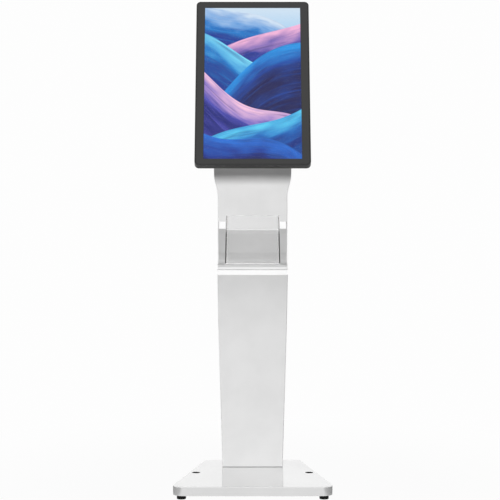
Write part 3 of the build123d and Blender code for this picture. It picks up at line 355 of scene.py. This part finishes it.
def zinc(name, tone, roughness):
    """Zinc plating: pale metal with soft crystals of slightly different tones."""
    crystals_per_metre = 260.0
    finish = Finish(name, metallic=1.0)
    sockets = {"Vector": finish.place(), "Scale": crystals_per_metre}
    crystals = finish.node("ShaderNodeTexVoronoi", sockets=sockets).ramp(0.0, 0.9)
    cloud = finish.noise(size=0.02, detail=4.0)
    cool, warm = shade(tone - 14, tone - 12, tone - 6), shade(tone + 8, tone + 6, tone)
    tint = finish.mix(cloud, cool, warm)
    finish.set("Base Color", finish.mix(crystals * 0.3, tint, grey(tone - 30)))
    finish.set("Roughness", roughness + 0.16 * (cloud - 0.5))
    finish.bump(finish.noise(size=0.0008), depth=0.00001)
    return finish.material


def turned_steel():
    """Lathe-turned steel: fine rings about the swivel's axis."""
    ring_pitch = 0.000698
    finish = Finish("turned_steel", metallic=1.0)
    across, up = finish.on_display()
    distance = (across * across + up * up) ** 0.5
    rings = (distance * (2 * pi / ring_pitch)).wave() * 0.5 + 0.5
    cloud = finish.noise(size=0.015, detail=4.0)
    finish.set("Base Color", finish.mix(cloud, grey(176), grey(196)))
    finish.set("Roughness", 0.26 + 0.14 * cloud)
    finish.bump(rings, depth=0.00001)
    return finish.material


def black_rubber():
    """Moulded rubber, matte and a little dusty."""
    finish = Finish("black_rubber", specular_ior_level=0.3)
    grain = finish.noise(size=0.0009, detail=4.0)
    dust = finish.noise(size=0.012, detail=5.0).ramp(0.5, 0.8)
    finish.set("Base Color", finish.mix(dust * 0.3, grey(22), grey(58)))
    finish.set("Roughness", 0.72 + 0.2 * grain)
    finish.bump(grain, depth=0.00008)
    return finish.material


def plastic(name, dark, pale, roughness):
    """Moulded plastic with a fine spark-eroded grain."""
    finish = Finish(name, specular_ior_level=0.45)
    grain = finish.noise(size=0.0005, detail=3.0)
    cloud = finish.noise(size=0.03, detail=3.0)
    finish.set("Base Color", finish.mix(cloud, dark, pale))
    finish.set("Roughness", roughness + 0.1 * grain)
    finish.bump(grain, depth=0.00003)
    return finish.material


def clear_acrylic():
    """Clear sheet: a veil of painted reflection, painted highlights at its edges, painted side
    shade.
    """
    # The tones of the painted reflection's veil, the painted side shade and the painted highlights
    veil, dark, pale = grey(205), grey(30), grey(255)
    finish = Finish("clear_acrylic", roughness=0.12)
    x, y, z = finish.axes()
    across, along, _ = finish.facing()
    from_side = pocket_half_width - (z - pocket_bottom) * pocket_taper - abs(x)
    side_edge = (from_side - acrylic).within(-0.0002, fade=0.0002)
    side_edge = side_edge * abs(across).within(0.3, fade=0.3)
    # Painted highlights along the top of the front and back sheets and along the foot
    front_rim = (pocket_front_top - z).within(front_rim_depth, fade=0.0004)
    front_rim = front_rim * y.within(front_sheet_back, fade=0.002) * (1 - side_edge)
    back_rim = (pocket_back_top - z).within(back_rim_depth, fade=0.0004)
    foot_rim = (z - pocket_bottom).within(foot_rim_depth, fade=0.0004)
    # Painted highlight: a bright line just inside each side
    beside_side = (from_side - acrylic).ramp(0.0, 0.0003)
    beside_side = beside_side * (from_side - 2 * acrylic).within(0.0, fade=0.0003)
    inner_highlight = beside_side * (-along).ramp(0.5, 0.8)
    bright = (0.85 * front_rim).at_least(0.6 * foot_rim).at_least(0.12 * back_rim.at_least(inner_highlight))
    # Painted shade along the sides' edges, paler towards the top
    darker = side_edge * (0.95 - 0.5 * (z - pocket_front_top).ramp(-0.016, 0.004))
    marks = finish.noise(size=0.02, detail=5.0)
    colour = finish.mix(darker.at_most(1 - bright), veil, dark)
    finish.set("Base Color", finish.mix(bright, colour, pale))
    # The veil's faint opacity is the painted reflection; the painted shade and highlights are more
    # opaque
    finish.set("Alpha", (0.01 + 0.03 * marks + darker).at_least(bright))
    finish.bump(finish.noise(size=0.006), depth=0.000004)
    return finish.material


def cover_glass():
    """Tempered glass with a dark border printed behind it; clear over the screen."""
    clear_alpha = 0.04
    finish = Finish("cover_glass", specular_ior_level=0.5)
    across, up = finish.on_display()
    beyond_side = abs(across) - screen_half_width
    beyond_end = abs(up) - screen_half_height
    border = beyond_side.at_least(beyond_end).ramp(-0.0001, 0.0002)
    smear = finish.noise(size=0.03, detail=5.0)
    finish.set("Base Color", finish.mix(smear, grey(38), grey(41)))
    finish.set("Roughness", 0.09 + 0.05 * smear)
    finish.set("Alpha", border + (1 - border) * clear_alpha)
    finish.bump(finish.noise(size=0.08), depth=0.00001)
    return finish.material


# Screen picture: where its sky starts to pale and over what height, how deep a band's colours run,
# how many folds and creases there are to a metre along and down a band, and the bands like folded
# silk, each with its crest's height, swing, waves across, shift and tilt, and the tones of its
# crest, middle and depth
sky_bottom = 0.12
sky_height = 0.12
silk_depth = 0.10
fold_scale = (6.0, 95.0)
crease_scale = (14.0, 30.0)
silk_bands = [
    (0.196, 0.022, 1.3, 0.6, -0.55, (214, 232, 250), (20, 140, 222), (2, 52, 150)),
    (0.140, 0.030, 0.9, 2.4, 0.62, (250, 186, 224), (40, 66, 176), (10, 18, 98)),
    (0.078, 0.034, 1.4, 4.1, -0.40, (126, 226, 255), (0, 134, 216), (0, 50, 146)),
    (0.004, 0.040, 1.1, 1.1, 0.75, (24, 150, 232), (0, 70, 170), (8, 14, 84)),
    (-0.060, 0.032, 1.5, 5.4, -0.52, (255, 204, 232), (84, 84, 196), (14, 26, 120)),
    (-0.118, 0.036, 1.0, 3.0, 0.58, (90, 212, 250), (0, 108, 202), (0, 36, 124)),
    (-0.190, 0.026, 1.4, 0.3, -0.48, (30, 112, 216), (4, 44, 146), (4, 8, 64)),
]


def silk_noise(finish, along, down, scale, slice_place, detail):
    """Noise drawn out along a silk band; each slice of it has another pattern."""
    sockets = {0: along * scale[0], 1: down * scale[1], 2: slice_place}
    return finish.texture(finish.node("ShaderNodeCombineXYZ", sockets=sockets), detail)


def screen_picture():
    """The lit picture: bands like folded silk laid over one another from the top down."""
    finish = Finish(
        "screen_picture", roughness=0.3, base_color=(0.0, 0.0, 0.0, 1), emission_strength=1.0
    )
    across, up = finish.on_display()
    sky = ((up - sky_bottom) / sky_height).clamped()
    picture = finish.mix(sky, shade(150, 205, 246), shade(214, 232, 248))
    for number, (crest, swing, waves, shift, tilt, *tones) in enumerate(silk_bands):
        bright, middle, deep = (shade(*tone) for tone in tones)
        turn = waves * pi / screen_half_width / 2
        drift = (across * (turn * 0.5) + shift * 1.7).wave() * (swing * 0.6)
        below = (across * turn + shift).wave() * swing + drift + across * tilt + crest - up
        folds = silk_noise(finish, across, below, fold_scale, 7.3 * number, detail=5.0)
        creases = silk_noise(finish, across, below, crease_scale, 3.1 * number, detail=2.0)
        depth = (below / silk_depth).clamped() + 0.9 * (creases - 0.5)
        silk = finish.mix((depth * 1.6).clamped() ** 0.8, bright, middle)
        silk = finish.mix((depth * 1.7 - 0.7).clamped(), silk, deep)
        silk = finish.mix(folds.ramp(0.50, 0.72) * 0.55, silk, middle)
        silk = finish.mix((1 - folds.ramp(0.26, 0.46)) * 0.5, silk, deep)
        picture = finish.mix(below.ramp(-0.0006, 0.0010), picture, silk)
    finish.set("Emission Color", picture)
    return finish.material


def circuit_board():
    """Green solder mask over copper tracks."""
    tracks_per_metre = 190.0
    finish = Finish("circuit_board", specular_ior_level=0.5)
    settings = {"feature": "DISTANCE_TO_EDGE", "distance": "CHEBYCHEV"}
    sockets = {"Vector": finish.place(), "Scale": tracks_per_metre}
    tracks = finish.node("ShaderNodeTexVoronoi", settings, sockets)
    copper = 1 - tracks.ramp(0.03, 0.06)
    finish.set("Base Color", finish.mix(copper * 0.5, shade(12, 74, 44), shade(60, 140, 90)))
    finish.set("Roughness", 0.4 + 0.1 * finish.noise(size=0.01))
    finish.bump(copper, depth=0.00003)
    return finish.material


def black_anodised_aluminium():
    """Extruded aluminium, its grain drawn out along X."""
    finish = Finish("black_anodised_aluminium", metallic=1.0)
    grain = finish.noise(size=0.001, stretch=(1, 8, 8))
    finish.set("Base Color", finish.mix(grain, grey(34), grey(46)))
    finish.set("Roughness", 0.4 + 0.1 * grain)
    finish.bump(grain, depth=0.00001)
    return finish.material


# Every slot's finish; the tray has one of its own, the white powder coat painted darker as shade
finishes = {
    "white_powder_coat": white_powder_coat(),
    "white_gloss_coat": white_gloss_coat(),
    "zinc_plated_steel": zinc("zinc_plated_steel", tone=178, roughness=0.42),
    "zinc_plated_fasteners": zinc("zinc_plated_fasteners", tone=196, roughness=0.3),
    "turned_steel": turned_steel(),
    "friction_lining": plastic("friction_lining", shade(74, 60, 48), shade(92, 76, 58), 0.8),
    "black_rubber": black_rubber(),
    "clear_acrylic": clear_acrylic(),
    "cover_glass": cover_glass(),
    "screen_glass": screen_picture(),
    "diffuser_film": plastic("diffuser_film", grey(226), grey(234), 0.5),
    "backlight_plastic": plastic("backlight_plastic", grey(214), grey(222), 0.5),
    "black_coated_steel": black_coated_steel(),
    "circuit_board": circuit_board(),
    "black_anodised_aluminium": black_anodised_aluminium(),
    "connector_shells": zinc("connector_shells", tone=206, roughness=0.25),
    "black_plastic": plastic("black_plastic", grey(26), grey(34), 0.45),
}
shaded_tray_finish = shaded_tray_coat()

for subpart in frame["record"]["subparts"]:
    node = subpart["node"]
    finish = shaded_tray_finish if node == "tray" else finishes[subpart["material_slot"]]
    for slot in frame["nodes"][node].material_slots:
        slot.material = finish
frame["nodes"]["leaflet_pocket"].visible_shadow = False


# Floor, surroundings and lamps


def floor():
    """A pale floor, white to the camera and, but for the part near the stand, in reflections."""
    left, right = -floor_half, floor_half
    corners = [(left, left, 0), (right, left, 0), (right, right, 0), (left, right, 0)]
    mesh = bpy.data.meshes.new("floor")
    mesh.from_pydata(corners, [], [(0, 1, 2, 3)])
    plane = bpy.data.objects.new("floor", mesh)
    bpy.context.collection.objects.link(plane)
    finish = Finish("floor", base_color=grey(150), roughness=0.9, specular_ior_level=0.0)
    x, y, _ = finish.axes()
    away = (x * x + y * y) ** 0.5
    seen = finish.ray("Is Camera Ray").at_least(finish.ray("Is Transmission Ray"))
    seen = seen * (near_white + (1 - near_white) * away.ramp(*white_from))
    under = near_white_mirrored * abs(x).within(dark_half_width, dark_fade)
    mirrored = finish.ray("Is Glossy Ray") * under.at_least(away.ramp(*white_mirrored_from))
    lit = Signal(finish, finish.shader.outputs[0])
    sockets = {"Color": (1, 1, 1, 1), "Strength": white_strength}
    white = finish.node("ShaderNodeEmission", sockets=sockets)
    sockets = {0: seen.at_least(mirrored), 1: lit, 2: white}
    surface = finish.nodes["Material Output"].inputs["Surface"]
    finish.put(surface, finish.node("ShaderNodeMixShader", sockets=sockets))
    mesh.materials.append(finish.material)


def surroundings():
    """Soft light from all round, white to the camera and in reflections."""
    world = bpy.data.worlds.new("surroundings")
    world.use_nodes = True
    bpy.context.scene.world = world
    network = Network(world.node_tree)
    backdrop = network.nodes["Background"].inputs
    white = network.ray("Is Camera Ray").at_least(network.ray("Is Glossy Ray"))
    white = white.at_least(network.ray("Is Transmission Ray"))
    sockets = {"Value": white, "To Min": ambient_strength, "To Max": white_strength}
    network.put(backdrop["Color"], (1, 1, 1, 1))
    network.put(backdrop["Strength"], network.node("ShaderNodeMapRange", sockets=sockets))


def softbox(name, place, aim, size, watts):
    """A square lamp at a place, turned to face a point, that reflections don't show."""
    lamp = bpy.data.lights.new(name, "AREA")
    lamp.energy = watts
    lamp.size = size
    box = bpy.data.objects.new(name, lamp)
    bpy.context.collection.objects.link(box)
    box.location = place
    box.rotation_euler = (Vector(aim) - Vector(place)).to_track_quat("-Z", "Y").to_euler()
    box.visible_glossy = False


def camera():
    """The photograph's camera: well in front of the stand, dipped a little."""
    data = bpy.data.cameras.new("photo_camera")
    data.sensor_width = sensor_width
    data.lens = focal_pixels / photo_width * sensor_width
    viewer = bpy.data.objects.new("photo_camera", data)
    bpy.context.collection.objects.link(viewer)
    viewer.location = camera_place
    viewer.rotation_euler = (radians(90 - camera_dip), 0, 0)
    bpy.context.scene.camera = viewer


floor()
surroundings()
softbox("front", place=(-0.4, -4.4, 1.745), aim=(0, 0, 0.6), size=0.75, watts=166)
softbox("left", place=(-1.7, -0.1, 2.8), aim=(0, 0, 0.5), size=1.0, watts=16)
softbox("right", place=(1.7, -0.1, 2.8), aim=(0, 0, 0.5), size=1.0, watts=8)
softbox("top", place=(0, -0.9, 3.3), aim=(0, 0, 0.4), size=1.8, watts=4)
softbox("left_flank", place=(-2.2, 1.5, 1.2), aim=(0, 0.1, 0.7), size=1.0, watts=16)
softbox("right_flank", place=(2.2, 1.5, 1.2), aim=(0, 0.1, 0.7), size=1.0, watts=16)
softbox("back", place=(0.4, 3.6, 1.9), aim=(0, 0.1, 0.5), size=1.2, watts=45)
camera()
bpy.context.scene.view_settings.view_transform = "Standard"
